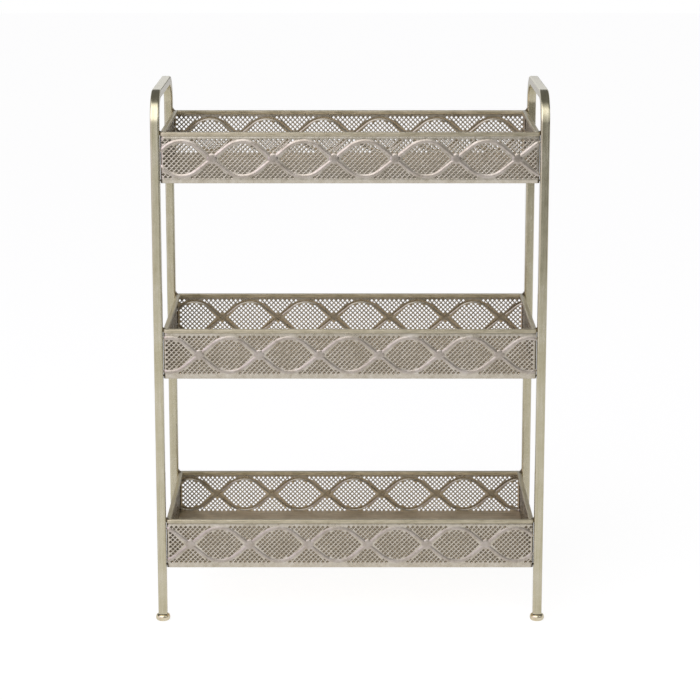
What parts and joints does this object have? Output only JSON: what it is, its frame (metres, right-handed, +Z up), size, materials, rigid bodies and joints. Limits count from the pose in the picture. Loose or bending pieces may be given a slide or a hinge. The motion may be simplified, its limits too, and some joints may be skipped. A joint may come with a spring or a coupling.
{
  "type": "tiered storage stand",
  "caption": "Free-standing metal stand with deep rectangular trays one above another between two inverted-U tube hoops on bun feet.",
  "frame": {"origin": "on the floor, in the middle of the four feet", "axes": "+Z up, +X to the right along the trays, +Y to the back"},
  "size_m": [0.71, 0.34, 0.968],
  "materials": {
    "frame_metal": "satin champagne plating",
    "wall_sheet": "satin champagne plating on pressed, perforated sheet",
    "floor_sheet": "darker satin sheet with faint rolling streaks",
    "polished_feet": "polished champagne plating",
    "plug_plastic": "moulded black plastic"
  },
  "bodies": {
    "root": {"side_hoop_left": "frame_metal", "side_hoop_right": "frame_metal", "foot_front_left": "polished_feet", "foot_front_right": "polished_feet", "foot_rear_left": "polished_feet", "foot_rear_right": "polished_feet", "leg_plug_front_left": "plug_plastic", "leg_plug_front_right": "plug_plastic", "leg_plug_rear_left": "plug_plastic", "leg_plug_rear_right": "plug_plastic", "bottom_tray_rim_front": "frame_metal", "bottom_tray_rim_rear": "frame_metal", "bottom_tray_rim_left": "frame_metal", "bottom_tray_rim_right": "frame_metal", "bottom_tray_wall_front": "wall_sheet", "bottom_tray_wall_rear": "wall_sheet", "bottom_tray_wall_left": "wall_sheet", "bottom_tray_wall_right": "wall_sheet", "bottom_tray_floor": "floor_sheet", "bottom_tray_upper_welds": "frame_metal", "bottom_tray_lower_welds": "frame_metal", "middle_tray_rim_front": "frame_metal", "middle_tray_rim_rear": "frame_metal", "middle_tray_rim_left": "frame_metal", "middle_tray_rim_right": "frame_metal", "middle_tray_wall_front": "wall_sheet", "middle_tray_wall_rear": "wall_sheet", "middle_tray_wall_left": "wall_sheet", "middle_tray_wall_right": "wall_sheet", "middle_tray_floor": "floor_sheet", "middle_tray_upper_welds": "frame_metal", "middle_tray_lower_welds": "frame_metal", "top_tray_rim_front": "frame_metal", "top_tray_rim_rear": "frame_metal", "top_tray_rim_left": "frame_metal", "top_tray_rim_right": "frame_metal", "top_tray_wall_front": "wall_sheet", "top_tray_wall_rear": "wall_sheet", "top_tray_wall_left": "wall_sheet", "top_tray_wall_right": "wall_sheet", "top_tray_floor": "floor_sheet", "top_tray_upper_welds": "frame_metal", "top_tray_lower_welds": "frame_metal"}
  },
  "joints": []
}
